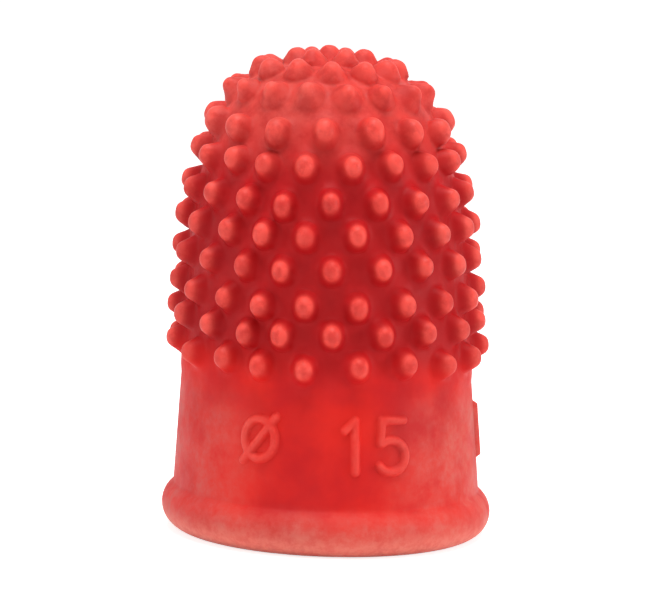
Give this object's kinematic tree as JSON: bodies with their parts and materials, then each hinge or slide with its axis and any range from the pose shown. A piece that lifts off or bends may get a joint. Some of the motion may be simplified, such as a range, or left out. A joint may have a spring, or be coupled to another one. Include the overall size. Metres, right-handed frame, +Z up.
{
  "type": "rubber finger tip",
  "caption": "Thin red rubber cap worn on one finger to turn paper, with rings of blunt studs over its domed end, a plain band and a round bead at the open mouth.",
  "frame": {"origin": "centre of the open mouth, in the plane of the foot that it stands on", "axes": "+Z up the cap's own axis towards the crown, -Y the side that the picture shows in front"},
  "size_m": [0.02, 0.02, 0.0294],
  "materials": {
    "red_rubber": "satin moulded rubber"
  },
  "bodies": {
    "root": {"finger_tip": "red_rubber"}
  },
  "joints": []
}
